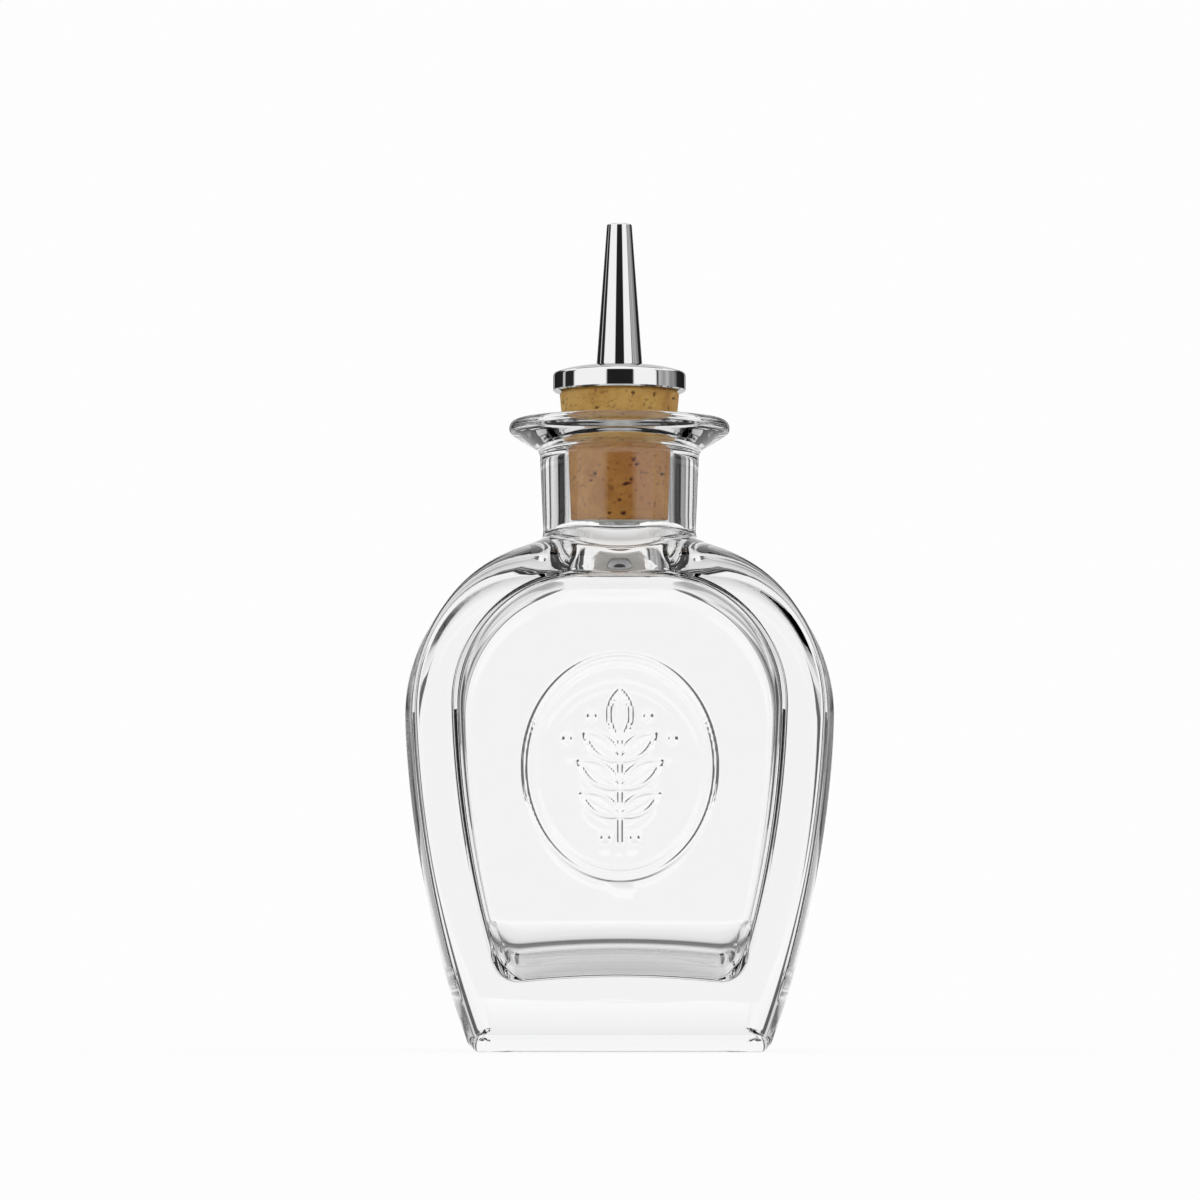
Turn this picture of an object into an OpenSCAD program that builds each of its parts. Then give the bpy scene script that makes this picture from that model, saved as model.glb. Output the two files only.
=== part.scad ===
// Bitters bottle: a thick-walled glass flask, and a cork stopper that carries a metal dasher.
// Millimetres, +Z up. The origin is the centre of the base; the two flat faces look along -Y and +Y.

/* [Body outside] */
// Width at the widest point
body_w = 71.8; // [68:0.1:80]
// Depth from flat face to flat face
body_d = 45; // [42:1:54]
// Height of the widest point
widest_z = 55.5; // [50:0.1:60]
// Radius of the shoulder arc, seen from the front
shoulder_r = 29.4; // [28:0.1:33]
// Radius of the long flank arc, seen from the front
flank_r = 172; // [150:1:220]
// Angle below the widest point where the flank arc takes over
flank_start = 2.3; // [1:0.1:4]
// Radius of the corner between flank and base
heel_r = 2.6; // [1.8:0.1:4]
// How far the flat face stands in from the side's edge
edge_side = 1; // [0.6:0.1:2]
// How far the flat face stands in from the top of the shoulder
edge_top = 7.3; // [5:0.1:9]
// Depth of the rounding between face and side
round_side = 1.2; // [0.8:0.1:3]
// Depth of the rounding between face and shoulder
round_top = 15; // [12:0.5:17]
// Swell of the narrow side walls
side_crown = 2.1; // [1:0.1:3]

/* [Glass] */
// Glass at the narrow sides
side_wall = 8; // [7:0.1:11]
// Glass at the flat faces
face_wall = 4.5; // [3:0.1:6]
// Glass between the shoulder's top and the cavity
shoulder_wall = 5.3; // [5:0.1:8]
// Glass under the cavity, at the middle
floor_t = 12.2; // [9:0.1:15]
// Radius of the floor's upward dome
floor_dome_r = 160; // [90:1:300]
// Radius of the cavity's shoulder arc
cavity_shoulder_r = 22; // [18:0.5:23]
// Radius of the cavity's lower corners, seen from the front
cavity_heel_r = 4.5; // [2:0.1:6]
// Rounding of the cavity's floor towards the flat faces
cavity_floor_round = 7; // [4:0.5:9]
// How far the cavity swells between its flat faces, at the sides and the top
cavity_bulge = 1.4; // [0.8:0.1:2]
// Inset of the rounding between the cavity's flat face and its side
cavity_edge = 0.5; // [0.3:0.1:1]
// Depth of the same rounding
cavity_round = 1.5; // [1:0.1:3]
// Depth of the push-up under the base
push_up = 0.8; // [0.4:0.1:1.5]
// Width of the flat rim that the bottle stands on
base_rim = 4.5; // [3:0.5:7]
// Corner radius of the push-up
push_up_r = 6; // [3:0.5:9]

/* [Neck] */
// Outer diameter at the foot of the neck
neck_foot_d = 25.5; // [25:0.1:28]
// Outer diameter under the lip
neck_top_d = 26.6; // [25.5:0.1:29]
// Height of the neck and lip above the shoulder's top
neck_h = 20.4; // [18:0.1:24]
// Fillet between neck and shoulder
foot_fillet = 2; // [1:0.1:3]
// Diameter of the lip
lip_d = 36.9; // [34:0.1:40]
// Radius of the lip's rounded edge
lip_edge_r = 1.5; // [1:0.1:2]
// Slope of the lip's underside
lip_slope = 31; // [20:1:40]
// Fillet between neck and lip
lip_fillet = 1.6; // [1:0.1:2.5]
// Fall of the lip's top towards the mouth
lip_fall = 0.2; // [0:0.05:0.4]
// Diameter of the bore
bore_d = 18.4; // [17:0.1:19.4]
// Rounding of the mouth
mouth_r = 1.8; // [1:0.1:2.5]
// Rounding where the bore opens into the cavity
throat_r = 2; // [1.5:0.1:3]
// How far the rim of that rounding lies below the cavity's top
throat_low = 0.4; // [0.2:0.1:0.8]

/* [Cork] */
// Length of the cork below the lip's top
cork_in = 17.6; // [14:0.1:18]
// Length of the cork above the lip's top
cork_out = 4.7; // [3:0.1:8]
// How much smaller than the bore the cork's lower end is, in radius
cork_tail_gap = 1.05; // [0.5:0.05:1.5]
// How much smaller than the bore the cork is where the squeeze begins, in radius
cork_waist_gap = 0.6; // [0.3:0.05:0.9]
// Length of the squeezed stretch below the mouth's rounding
cork_squeeze = 3.5; // [2:0.1:6]
// How much larger than the bore the cork's head is, in radius
cork_head_over = 0.8; // [0.6:0.05:1.2]
// Bevel of the cork's ends
cork_bevel = 0.4; // [0.2:0.1:0.8]
// Clearance between the cork and the glass at the mouth
cork_fit = 0.05; // [0.03:0.01:0.1]

/* [Dasher] */
// Diameter of the cap
cap_d = 22.2; // [21:0.1:26]
// Height of the cap's straight rim
cap_rim_h = 2.6; // [2:0.1:4]
// Rise of the cap's dome
cap_dome_h = 1.7; // [1:0.1:2.5]
// Radius of the edge between rim and dome
cap_edge_r = 0.7; // [0.3:0.1:0.9]
// Diameter of the spout at its foot
spout_foot_d = 7.7; // [7.2:0.1:9]
// Diameter of the spout at its tip
spout_tip_d = 4.2; // [3.8:0.1:5]
// Length of the spout
spout_len = 23.9; // [18:0.1:32]
// Diameter of the outlet
outlet_d = 2.4; // [1.5:0.1:2.6]
// Length of the straight outlet
outlet_len = 8; // [4:0.5:10]
// Diameter of the passage through the stem
passage_d = 4.2; // [3:0.1:4.4]
// Diameter of the spigot that joins cap and spout
spigot_d = 5.6; // [5.2:0.1:6]
// Length of the spigot inside the spout
spigot_in = 4; // [2:0.5:6]
// Diameter of the stem in the cork
stem_d = 7; // [6.5:0.1:8]
// How far the stem stands out below the cork
stem_tail = 0.6; // [0:0.1:1]
// Height of the barbs on the stem
barb_h = 0.45; // [0.2:0.05:0.6]
// Length of one barb
barb_len = 2.4; // [1.5:0.1:3]
// Distance from barb to barb
barb_pitch = 4.8; // [4:0.1:6]
// Number of barbs
barb_count = 3; // [1:1:3]
// Clearance between the stem and the cork
stem_fit = 0.05; // [0.02:0.01:0.1]
// Clearance between spigot, cap and spout
press_gap = 0.02; // [0.01:0.01:0.05]

/* [Hidden] */

round_fn = 96;
heel_steps = 4;
flank_steps = 9;
shoulder_steps = 16;
edge_steps = 6;

shoulder_top = widest_z + shoulder_r;
lip_top = shoulder_top + neck_h;
neck_foot_r = neck_foot_d / 2;
neck_top_r = neck_top_d / 2;
bore_r = bore_d / 2;
cork_bottom = lip_top - cork_in;
cork_top = lip_top + cork_out;
cap_top = cork_top + cap_rim_h + cap_dome_h;
spout_tip = cap_top + spout_len;
// Length of a cut beyond the face that it opens
past = 1;

// A point on a circle
function at(c, r, a) = [c[0] + r * cos(a), c[1] + r * sin(a)];

// Points along an arc from angle a0 to a1
function arc(c, r, a0, a1, steps) = [for (i = [0:steps]) at(c, r, a0 + (a1 - a0) * i / steps)];

// The same points, each with the direction in which the outline faces there
function faced_arc(c, r, a0, a1, steps) =
    [for (i = [0:steps]) let (a = a0 + (a1 - a0) * i / steps) concat(at(c, r, a), a)];

// The right-hand meeting point of two circles
function meet(c1, r1, c2, r2) =
    let (v = c2 - c1, d = norm(v), along = (d * d + r1 * r1 - r2 * r2) / (2 * d),
         off = sqrt(r1 * r1 - along * along), u = v / d, side = [u[1], -u[0]],
         p = c1 + u * along + side * off, q = c1 + u * along - side * off)
    p[0] > q[0] ? p : q;

function angle_of(v) = atan2(v[1], v[0]);
function mix(a, b, t) = a + (b - a) * t;
function smooth(t) = let (c = max(0, min(1, t))) c * c * (3 - 2 * c);

// Front outline of the body: heel, flank and shoulder are arcs that run into each other
shoulder_c = [body_w / 2 - shoulder_r, widest_z];
flank_c = shoulder_c + (flank_r - shoulder_r) * [-cos(flank_start), sin(flank_start)];
heel_c = [flank_c[0] + sqrt(pow(flank_r - heel_r, 2) - pow(flank_c[1] - heel_r, 2)), heel_r];
heel_angle = angle_of(heel_c - flank_c);

function body_outline() = concat(
    faced_arc(heel_c, heel_r, -90, heel_angle, heel_steps),
    [for (i = [1:flank_steps]) faced_arc(flank_c, flank_r, heel_angle, -flank_start, flank_steps)[i]],
    [for (i = [1:shoulder_steps]) faced_arc(shoulder_c, shoulder_r, -flank_start, 90, shoulder_steps)[i]]);

// The flat face's corner stays a little round where heel and base meet it
face_corner_r = 0.2;
edge_base = heel_r - face_corner_r;
// Angle on the flank from which its rounding fades into the heel's
fade_from = -10;
function rise(a) = pow(max(0, sin(a)), 5);
function body_edge(a) = a < 0
    ? mix(edge_side, edge_base, smooth((a - fade_from) / (heel_angle - fade_from)))
    : mix(edge_side, edge_top, rise(a));
function body_round(a) = mix(round_side, round_top, rise(a));

// A point of the outline, carried to a place between mid-depth and flat face. A place is a share of the
// depth up to the rounding, and how far the rounding has turned
function body_point(p, place) =
    let (a = p[2], y = (body_d / 2 - body_round(a)) * place[0] + body_round(a) * sin(place[1]),
         crown = side_crown * pow(cos(a) * y / (body_d / 2), 2),
         inset = body_edge(a) * (1 - cos(place[1])) + crown)
    [p[0] - inset * cos(a), y, p[1] - inset * sin(a)];

// Front outline of the cavity, from the middle of its floor round to its top
cavity_top = shoulder_top - shoulder_wall;
cavity_flank_r = flank_r - side_wall;
cavity_half_d = body_d / 2 - face_wall;
dome_c = [0, floor_t - floor_dome_r];
cavity_heel_c = meet(flank_c, cavity_flank_r - cavity_heel_r, dome_c, floor_dome_r + cavity_heel_r);
cavity_heel_angle = angle_of(cavity_heel_c - flank_c);
cavity_floor_angle = angle_of(dome_c - cavity_heel_c);
cavity_shoulder_z = cavity_top - cavity_shoulder_r;
cavity_shoulder_c = [
    flank_c[0] + sqrt(pow(cavity_flank_r - cavity_shoulder_r, 2) - pow(cavity_shoulder_z - flank_c[1], 2)),
    cavity_shoulder_z];
cavity_shoulder_angle = angle_of(cavity_shoulder_c - flank_c);
floor_steps = 4;

function cavity_outline() = concat(
    [for (p = faced_arc(dome_c, floor_dome_r, 90, 180 + cavity_floor_angle, floor_steps))
        if (p[0] > past) [p[0], p[1], p[2] - 180]],
    [for (i = [1:heel_steps])
        faced_arc(cavity_heel_c, cavity_heel_r, cavity_floor_angle, cavity_heel_angle, heel_steps)[i]],
    [for (i = [1:flank_steps])
        faced_arc(flank_c, cavity_flank_r, cavity_heel_angle, cavity_shoulder_angle, flank_steps)[i]],
    [for (i = [1:shoulder_steps])
        faced_arc(cavity_shoulder_c, cavity_shoulder_r, cavity_shoulder_angle, 90, shoulder_steps)[i]]);

cavity_half_w = flank_c[0] + cavity_flank_r;
function cavity_bend(a) = a < 0 ? mix(cavity_round, cavity_floor_round, pow(sin(a), 2)) : cavity_round;

// A point of the cavity's outline, carried to a place as above: the outline shrinks towards the face
function cavity_point(p, place) =
    let (bend = cavity_bend(p[2]), y = (cavity_half_d - bend) * place[0] + bend * sin(place[1]),
         g = 1 - cos(place[1]), inset = cavity_bulge * pow(y / cavity_half_d, 2) + cavity_edge * g,
         up = (p[1] - floor_t) / (cavity_top - floor_t))
    [p[0] * (1 - inset / cavity_half_w), y, p[1] + mix(cavity_floor_round * g, -inset, up)];

// One closed ring: the right half from bottom to top, then its mirror image back down
function ring(half, side) = concat(
    [for (p = half) [p[0], side * p[1], p[2]]],
    [for (i = [len(half) - 1:-1:0]) [-half[i][0], side * half[i][1], half[i][2]]]);

// A closed body with flat faces at front and back, lofted through rings from one face to the other
module lofted(rings) {
    n = len(rings[0]);
    last = len(rings) - 1;
    walls = [for (k = [0:last - 1], i = [0:n - 1])
        let (j = (i + 1) % n, a = k * n + i, b = k * n + j, c = b + n, d = a + n)
        each [[a, b, c], [a, c, d]]];
    front = [for (i = [n - 1:-1:0]) i];
    back = [for (i = [0:n - 1]) last * n + i];
    polyhedron(points = [for (r = rings) each r], faces = concat(walls, [front, back]), convexity = 6);
}

// Places from mid-depth to the flat face
places = concat([[0, 0], [1 / 3, 0], [2 / 3, 0]], [for (k = [0:edge_steps]) [1, 90 * k / edge_steps]]);

module body_solid() {
    outline = body_outline();
    last = len(places) - 1;
    lofted(concat(
        [for (k = [last:-1:1]) ring([for (p = outline) body_point(p, places[k])], -1)],
        [for (k = [0:last]) ring([for (p = outline) body_point(p, places[k])], 1)]));
}

module cavity_solid() {
    outline = cavity_outline();
    last = len(places) - 1;
    lofted(concat(
        [for (k = [last:-1:1]) ring([for (p = outline) cavity_point(p, places[k])], -1)],
        [for (k = [0:last]) ring([for (p = outline) cavity_point(p, places[k])], 1)]));
}

// Neck and lip, turned about the axis; the foot's fillet runs into the shoulder arc
foot_c = [neck_foot_r + foot_fillet,
          widest_z + sqrt(pow(shoulder_r + foot_fillet, 2)
                          - pow(neck_foot_r + foot_fillet - shoulder_c[0], 2))];
foot_angle = 360 + angle_of(shoulder_c - foot_c);
lip_edge_c = [lip_d / 2 - lip_edge_r, lip_top - lip_edge_r];
lip_under = at(lip_edge_c, lip_edge_r, lip_slope - 90);
lip_fillet_c = [neck_top_r + lip_fillet,
                lip_under[1] - (lip_under[0] - neck_top_r - lip_fillet) * tan(lip_slope)
                - lip_fillet / cos(lip_slope)];
mouth_c = [bore_r + mouth_r, lip_top - lip_fall - mouth_r];
// Where the neck's own solid begins inside the glass
neck_root = cavity_top + 0.2;
neck_core_r = bore_r - 2;

module neck_solid() {
    rotate_extrude($fn = round_fn)
        polygon(concat(
            [[neck_core_r, neck_root], [foot_c[0], neck_root]],
            [for (i = [0:6]) at(foot_c, foot_fillet, foot_angle + (180 - foot_angle) * i / 6)],
            arc(lip_fillet_c, lip_fillet, 180, 90 + lip_slope, 5),
            arc(lip_edge_c, lip_edge_r, lip_slope - 90, 90, 9),
            [[mouth_c[0], lip_top - lip_fall], [neck_core_r, lip_top - lip_fall]]));
}

// Bore, mouth and throat, turned about the axis
throat_c = [bore_r + throat_r, cavity_top - throat_low + throat_r];

module bore_solid() {
    rotate_extrude($fn = round_fn)
        polygon(concat(
            [[0, cavity_shoulder_z], [throat_c[0], cavity_shoulder_z]],
            arc(throat_c, throat_r, 270, 180, 7),
            arc(mouth_c, mouth_r, 180, 90, 7),
            [[mouth_c[0], lip_top + past], [0, lip_top + past]]));
}

// Shallow hollow under the base, with round corners
push_up_w = 2 * (heel_c[0] - base_rim);
push_up_d = body_d - 2 * (round_side + base_rim);

module push_up_solid() {
    r = push_up_r;
    translate([0, 0, -past])
        linear_extrude(height = push_up + past)
            union() {
                square([push_up_w - 2 * r, push_up_d], center = true);
                square([push_up_w, push_up_d - 2 * r], center = true);
                for (x = [-1, 1], y = [-1, 1])
                    translate([x * (push_up_w / 2 - r), y * (push_up_d / 2 - r)])
                        circle(r = r, $fn = round_fn);
            }
}

module glass_bottle() {
    color([0.86, 0.92, 0.92, 0.35])
        difference() {
            union() {
                body_solid();
                neck_solid();
            }
            cavity_solid();
            bore_solid();
            push_up_solid();
        }
}

// Cork: a long taper below the mouth, squeezed at the mouth and full again above it
cork_mouth_turn = 22;
cork_seat = at(mouth_c, mouth_r + cork_fit, 180 - cork_mouth_turn);
cork_head_r = bore_r + cork_head_over;
cork_swell = cork_seat + 0.9 * [sin(cork_mouth_turn), cos(cork_mouth_turn)];
function curve(a, b, c, t) = a * pow(1 - t, 2) + b * 2 * t * (1 - t) + c * pow(t, 2);

// Half profile of the stem, from its lower end to its shoulder under the cap, grown by a clearance
stem_bottom = cork_bottom - stem_tail;
stem_r = stem_d / 2;
// The middle barb sits half way down the cork
barb_mid = (cork_bottom + cork_top) / 2;
function stem_side(grow) = concat(
    [[stem_r + grow, stem_bottom - (grow > 0 ? past : 0)]],
    [for (i = [0:barb_count - 1])
        let (z = barb_mid + (i - (barb_count - 1) / 2) * barb_pitch - barb_len / 2)
        each [[stem_r + grow, z - grow],
              [stem_r + barb_h + grow, z + barb_len - grow],
              [stem_r + barb_h + grow, z + barb_len + grow],
              [stem_r + grow, z + barb_len + grow]]],
    [[stem_r + grow, cork_top]]);

module cork_stopper() {
    color([0.72, 0.53, 0.33])
        difference() {
            rotate_extrude($fn = round_fn)
                polygon(concat(
                    [[0, cork_bottom], [bore_r - cork_tail_gap - cork_bevel, cork_bottom],
                     [bore_r - cork_tail_gap, cork_bottom + cork_bevel],
                     [bore_r - cork_waist_gap, mouth_c[1] - cork_squeeze]],
                    arc(mouth_c, mouth_r + cork_fit, 180, 180 - cork_mouth_turn, 3),
                    [for (i = [1:6])
                        curve(cork_seat, cork_swell, [cork_head_r, cork_top - cork_bevel], i / 6)],
                    [[cork_head_r - cork_bevel, cork_top], [0, cork_top]]));
            rotate_extrude($fn = round_fn)
                polygon(concat([[0, stem_bottom - past]], stem_side(stem_fit),
                               [[stem_r + stem_fit, cork_top + past], [0, cork_top + past]]));
        }
}

// Cap: a straight rim, a rounded edge and a low dome that levels out under the spout's foot
cap_r = cap_d / 2;
spout_foot_r = spout_foot_d / 2;
rim_top = cork_top + cap_rim_h;
cap_edge_c = [cap_r - cap_edge_r, rim_top];
// Edge arc up to the angle from which the dome goes on
cap_edge_turn = 55;
cap_edge_end = at(cap_edge_c, cap_edge_r, cap_edge_turn);
cap_bevel = 0.25;
cap_hole_r = spigot_d / 2 + press_gap;

module dasher_cap() {
    color([0.82, 0.82, 0.84])
        rotate_extrude($fn = round_fn)
            polygon(concat(
                [[cap_hole_r, cork_top], [cap_r - cap_bevel, cork_top], [cap_r, cork_top + cap_bevel]],
                arc(cap_edge_c, cap_edge_r, 0, cap_edge_turn, 5),
                [for (i = [1:8])
                    curve(cap_edge_end, [mix(cap_edge_end[0], spout_foot_r, 0.4), cap_top],
                          [spout_foot_r, cap_top], i / 8)],
                [[cap_hole_r, cap_top]]));
}

// Spout: a long cone with a socket in its foot, a tapering passage and a straight outlet
tip_round = 0.25;
spout_tip_r = spout_tip_d / 2;
passage_r = passage_d / 2;
outlet_r = outlet_d / 2;

module pour_spout() {
    color([0.82, 0.82, 0.84])
        rotate_extrude($fn = round_fn)
            polygon(concat(
                [[cap_hole_r, cap_top], [spout_foot_r, cap_top]],
                arc([spout_tip_r - tip_round, spout_tip - tip_round], tip_round, 5, 90, 4),
                [[outlet_r, spout_tip], [outlet_r, spout_tip - outlet_len],
                 [passage_r, cap_top + spigot_in + press_gap],
                 [cap_hole_r, cap_top + spigot_in + press_gap]]));
}

// Stem: a barbed tube in the cork, with a spigot that carries the cap and the spout
spigot_r = spigot_d / 2;

module stem_tube() {
    color([0.74, 0.74, 0.76])
        rotate_extrude($fn = round_fn)
            polygon(concat(
                [[passage_r, stem_bottom]],
                stem_side(0),
                [[spigot_r, cork_top], [spigot_r, cap_top + spigot_in], [passage_r, cap_top + spigot_in]]));
}

glass_bottle();
cork_stopper();
dasher_cap();
pour_spout();
stem_tube();
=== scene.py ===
import math
import random
import bmesh
import bpy
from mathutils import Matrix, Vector, noise


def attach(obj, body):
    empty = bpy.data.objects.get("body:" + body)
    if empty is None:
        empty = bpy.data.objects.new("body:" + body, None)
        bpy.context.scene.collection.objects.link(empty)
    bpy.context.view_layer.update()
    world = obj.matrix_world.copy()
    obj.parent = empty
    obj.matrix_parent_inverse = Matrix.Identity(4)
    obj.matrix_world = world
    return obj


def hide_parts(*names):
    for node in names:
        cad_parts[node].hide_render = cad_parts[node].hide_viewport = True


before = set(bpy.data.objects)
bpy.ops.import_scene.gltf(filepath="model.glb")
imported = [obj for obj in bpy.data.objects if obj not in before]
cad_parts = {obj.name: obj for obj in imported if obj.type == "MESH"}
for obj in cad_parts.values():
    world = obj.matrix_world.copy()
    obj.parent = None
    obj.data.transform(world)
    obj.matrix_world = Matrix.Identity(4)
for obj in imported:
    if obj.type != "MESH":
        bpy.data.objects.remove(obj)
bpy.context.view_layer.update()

mm = 0.001  # the pieces' sizes are in millimetres, and angles in degrees unless math.radians is used


# shader maths: a wrapped socket takes part in plain Python expressions
class Socket:
    def __init__(self, tree, link=None):
        self.tree = tree
        self.link = link

    def node(self, kind, inputs=None, settings=None, output=0):
        made = self.tree.nodes.new("ShaderNode" + kind)
        for name, value in (settings or {}).items():
            if name == "stops":
                setStops(made.color_ramp, value)
            else:
                setattr(made, name, value)
        for name, value in (inputs or {}).items():
            if isinstance(value, Socket):
                self.tree.links.new(value.link, made.inputs[name])
            else:
                made.inputs[name].default_value = value
        return Socket(self.tree, made.outputs[output] if made.outputs else None)

    def math(self, operation, *values):
        return self.node("Math", dict(enumerate(values)), {"operation": operation})

    def __add__(self, other):
        return self.math("ADD", self, other)

    def __sub__(self, other):
        return self.math("SUBTRACT", self, other)

    def __rsub__(self, other):
        return self.math("SUBTRACT", other, self)

    def __mul__(self, other):
        return self.math("MULTIPLY", self, other)

    def __truediv__(self, other):
        return self.math("DIVIDE", self, other)

    def smooth(self, low, high):
        # 0 at low, 1 at high, soft in between
        return self.node("MapRange", {"Value": self, "From Min": low, "From Max": high},
                         {"interpolation_type": "SMOOTHSTEP"})

    def blend(self, share, first, second, kind="MIX"):
        # colour mix: first at share 0, second at share 1
        return self.node("Mix", {0: share, 6: rgba(first), 7: rgba(second)},
                         {"data_type": "RGBA", "blend_type": kind}, output=2)

    def axes(self):
        parts = self.node("SeparateXYZ", {0: self})
        return [Socket(self.tree, output) for output in parts.link.node.outputs]


def setStops(ramp, stops):
    # stops are (place, colour); the ramp starts with two of its own
    while len(ramp.elements) < len(stops):
        ramp.elements.new(1.0)
    for element, (place, colour) in zip(ramp.elements, stops):
        element.position = place
        element.color = rgba(colour)


def grey(level):
    return (level, level, level)


def rgba(colour):
    return colour if isinstance(colour, Socket) else (*colour, 1)


def startMaterial(name):
    material = bpy.data.materials.new(name)
    material.use_nodes = True
    material.node_tree.nodes.clear()
    return material, Socket(material.node_tree)


def dress(piece, material):
    piece.data.materials.clear()
    piece.data.materials.append(material)


# modelling helpers
def deselectAll():
    if bpy.context.object and bpy.context.object.mode != "OBJECT":
        bpy.ops.object.mode_set(mode="OBJECT")
    bpy.ops.object.select_all(action="DESELECT")


def mix(a, b, share):
    return a + (b - a) * share


def smoothShare(value):
    value = min(1.0, max(0.0, value))
    return value * value * (3 - 2 * value)


def onArc(centre, radius, angle):
    return centre[0] + radius * math.cos(angle), centre[1] + radius * math.sin(angle)


def arcPoints(centre, radius, start, end, steps):
    turns = [math.radians(mix(start, end, i / steps)) for i in range(steps + 1)]
    return [onArc(centre, radius, turn) for turn in turns]


def mixPoint(a, b, share):
    return mix(a[0], b[0], share), mix(a[1], b[1], share)


def innerPoints(start, end, steps):
    # the points of a straight stretch, without its two ends
    return [mixPoint(start, end, i / steps) for i in range(1, steps)]


def curvePoints(a, b, c, steps):
    # from a to c, bent towards b
    shares = [i / steps for i in range(steps + 1)]
    return [mixPoint(mixPoint(a, b, share), mixPoint(b, c, share), share) for share in shares]


def dropRing(piece, ring):
    # sets the selected loop of the mesh in edit mode on the points of ring
    mesh = bmesh.from_edit_mesh(piece.data)
    place = mesh.verts.layers.int["place"]
    for vert in mesh.verts:
        if vert.select:
            vert.co = Vector(ring[vert[place]]) * mm
    bmesh.update_edit_mesh(piece.data)


def fanEnd():
    # closes the selected loop with a fan of triangles
    bpy.ops.mesh.edge_face_add()
    bpy.ops.mesh.poke()


def growSkin(name, rings):
    # a closed skin: a circle is extruded loop by loop, each loop is set on its ring, and the ends are closed
    deselectAll()
    bpy.ops.mesh.primitive_circle_add(vertices=len(rings[0]), radius=mm)
    piece = bpy.context.object
    piece.name = piece.data.name = name
    bpy.ops.object.mode_set(mode="EDIT")
    mesh = bmesh.from_edit_mesh(piece.data)
    place = mesh.verts.layers.int.new("place")
    for vert in mesh.verts:
        vert[place] = vert.index
    bmesh.update_edit_mesh(piece.data)
    bpy.ops.mesh.select_all(action="SELECT")
    dropRing(piece, rings[0])
    for ring in rings[1:]:
        bpy.ops.mesh.extrude_edges_move()
        dropRing(piece, ring)
    fanEnd()
    bpy.ops.mesh.select_all(action="DESELECT")
    bpy.ops.mesh.select_non_manifold()
    fanEnd()
    bpy.ops.mesh.select_all(action="SELECT")
    bpy.ops.mesh.normals_make_consistent(inside=False)
    bpy.ops.object.mode_set(mode="OBJECT")
    bpy.ops.object.shade_smooth()
    return piece


def spinPiece(name, profile, steps=128, sharp=28):
    # a ring-shaped solid: the closed profile of (radius, height) points is spun round the axis
    deselectAll()
    bpy.ops.mesh.primitive_circle_add(vertices=len(profile), radius=mm)
    piece = bpy.context.object
    piece.name = piece.data.name = name
    for vert, (radius, height) in zip(piece.data.vertices, profile):
        vert.co = Vector((radius, 0, height)) * mm
    bpy.ops.object.mode_set(mode="EDIT")
    bpy.ops.mesh.select_all(action="SELECT")
    bpy.ops.mesh.spin(steps=steps, angle=2 * math.pi, center=(0, 0, 0), axis=(0, 0, 1))
    bpy.ops.mesh.select_all(action="SELECT")
    bpy.ops.mesh.remove_doubles(threshold=0.0001 * mm)
    bpy.ops.mesh.normals_make_consistent(inside=False)
    bpy.ops.object.mode_set(mode="OBJECT")
    bpy.ops.object.shade_smooth_by_angle(angle=math.radians(sharp))
    return piece


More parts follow.
